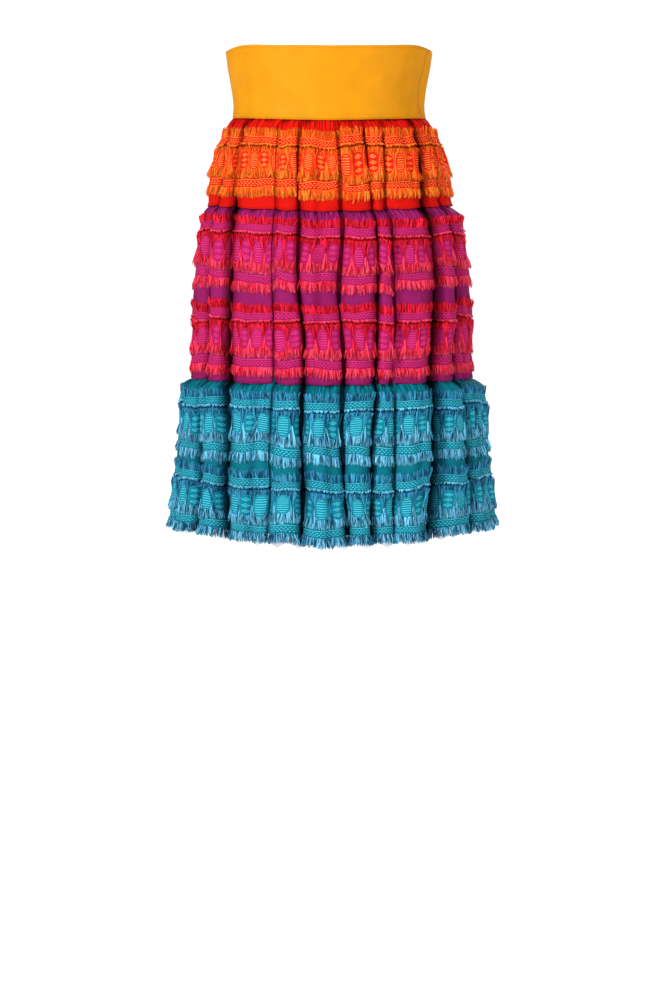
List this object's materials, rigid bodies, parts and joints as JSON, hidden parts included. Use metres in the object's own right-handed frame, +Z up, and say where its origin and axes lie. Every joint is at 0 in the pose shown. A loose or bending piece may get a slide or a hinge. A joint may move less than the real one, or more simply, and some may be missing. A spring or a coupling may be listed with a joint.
{
  "type": "tiered skirt",
  "caption": "High-waisted knee-length skirt of gathered tiers with woven bands and rows of cut fringe, hollow as worn, open at waist and hem.",
  "frame": {"origin": "on the skirt's axis at the waist, the narrowest ring of the waistband, where the wearer holds the skirt up", "axes": "+Z up, towards the wearer's chest; the front faces -Y and the wearer's left is +X"},
  "size_m": [0.4082, 0.3597, 0.6156],
  "materials": {
    "marigold_cloth": "smooth matt",
    "red_cloth": "matt",
    "purple_cloth": "matt",
    "teal_cloth": "matt",
    "orange_fringe": "soft sheen",
    "pink_fringe": "soft sheen",
    "blue_fringe": "soft sheen",
    "white_lining": "smooth matt"
  },
  "bodies": {
    "root": {"waistband_front": "marigold_cloth", "waistband_back": "marigold_cloth", "red_tier_front": "red_cloth", "red_tier_back": "red_cloth", "purple_tier_front": "purple_cloth", "purple_tier_back": "purple_cloth", "teal_tier_front": "teal_cloth", "teal_tier_back": "teal_cloth", "red_tier_fringe_1_front": "orange_fringe", "red_tier_fringe_1_back": "orange_fringe", "purple_tier_fringe_1_front": "pink_fringe", "purple_tier_fringe_1_back": "pink_fringe", "purple_tier_fringe_2_front": "pink_fringe", "purple_tier_fringe_2_back": "pink_fringe", "teal_tier_fringe_1_front": "blue_fringe", "teal_tier_fringe_1_back": "blue_fringe", "teal_tier_fringe_2_front": "blue_fringe", "teal_tier_fringe_2_back": "blue_fringe", "lining_edge_front": "white_lining", "lining_edge_back": "white_lining"}
  },
  "joints": []
}
